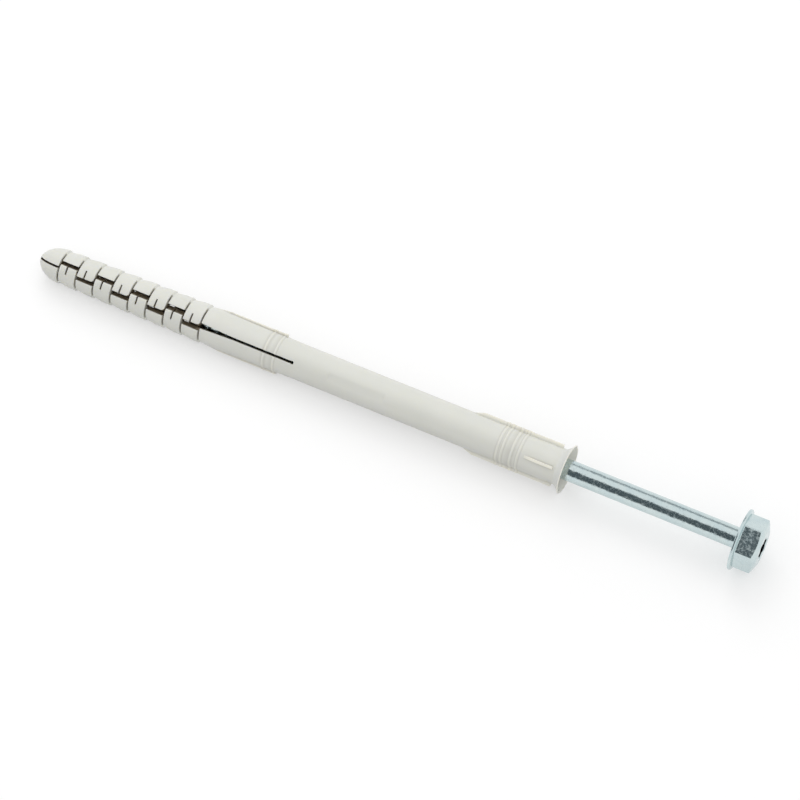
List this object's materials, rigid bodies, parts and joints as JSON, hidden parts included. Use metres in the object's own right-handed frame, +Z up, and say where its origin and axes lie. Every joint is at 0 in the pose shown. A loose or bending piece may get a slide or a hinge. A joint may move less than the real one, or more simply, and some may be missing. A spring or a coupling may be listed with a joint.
{
  "type": "frame fixing",
  "caption": "Frame fixing: a slit nylon plug with interlocking toothed halves and a flared collar, with a zinc-plated flanged hexagon head screw started in it.",
  "frame": {"origin": "centre of the bounding box at its lowest level, on the surface that the fixing lies on", "axes": "+X runs along the fixing from the plug's nose to the screw's head, and +Z is up. The fixing's own axis rises by about one degree towards the head, because the head's flange is larger than the nose"},
  "size_m": [0.2158, 0.017, 0.017],
  "materials": {
    "nylon": "moulded, satin, off-white",
    "zinc_plated_steel": "bright blue-white zinc plating"
  },
  "bodies": {
    "root": {"plug_sleeve": "nylon", "screw": "zinc_plated_steel"}
  },
  "joints": []
}
